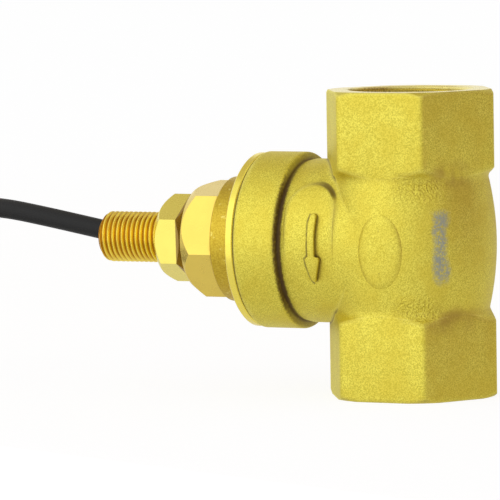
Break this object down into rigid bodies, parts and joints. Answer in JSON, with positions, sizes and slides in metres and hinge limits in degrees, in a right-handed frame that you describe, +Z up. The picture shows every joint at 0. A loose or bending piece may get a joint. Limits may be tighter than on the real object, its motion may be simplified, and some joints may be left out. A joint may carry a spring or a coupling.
{
  "type": "water flow switch",
  "caption": "Lift-piston water flow switch: brass globe-pattern body with two female ports, screwed bonnet on a side branch, threaded reed sensor with lock nut and a cable.",
  "frame": {"origin": "centre of the outlet port's mouth, in the plane of the outlet end face that the switch stands on", "axes": "+Z up the pipe axis from the outlet to the inlet; the branch with the bonnet, the sensor and the cable points along -X; the flow arrow is on the -Y side and points down (-Z)"},
  "size_m": [0.2563, 0.0468, 0.078],
  "materials": {
    "cast_brass": "sand-blasted casting, greenish yellow, fine grain",
    "turned_brass": "turned and milled, bright",
    "stem_brass": "turned, threaded all along, orange gold",
    "gasket_fibre": "dark fibre sheet",
    "seal_rubber": "matt black",
    "stainless": "satin",
    "nickel": "nickel plated",
    "reed_glass": "clear, slightly green",
    "reed_metal": "plated nickel-iron",
    "resin": "black potting resin",
    "sleeve": "clear white sleeving",
    "cable_jacket": "black, slight sheen",
    "core_brown": "core insulation, brown",
    "core_blue": "core insulation, blue",
    "ferrule_metal": "tinned copper with a plastic collar"
  },
  "bodies": {
    "body": {"valve_body": "cast_brass", "bonnet": "turned_brass", "bonnet_gasket": "gasket_fibre", "return_spring": "stainless", "sensor_tube": "stem_brass", "lock_nut": "turned_brass", "reed_glass": "reed_glass", "reed_blade_near": "reed_metal", "reed_blade_far": "reed_metal", "lead_sleeve": "sleeve", "core_brown": "core_brown", "core_blue": "core_blue", "potting": "resin", "cable": "cable_jacket", "cable_coil": "cable_jacket", "tail_core_brown": "core_brown", "tail_core_blue": "core_blue", "ferrule_brown": "ferrule_metal", "ferrule_blue": "ferrule_metal"},
    "piston": {"flow_piston": "turned_brass", "piston_seal": "seal_rubber", "seal_washer": "stainless", "seal_screw": "stainless", "magnet": "nickel", "magnet_plug": "turned_brass"}
  },
  "joints": [
    {"name": "piston_lift", "type": "slide", "parent": "body", "child": "piston", "axis": [-1, 0, 0], "range_m": [0, 0.007], "stiffness_N_per_m": 60, "springref_m": -0.008, "deforming": ["return_spring"]}
  ]
}
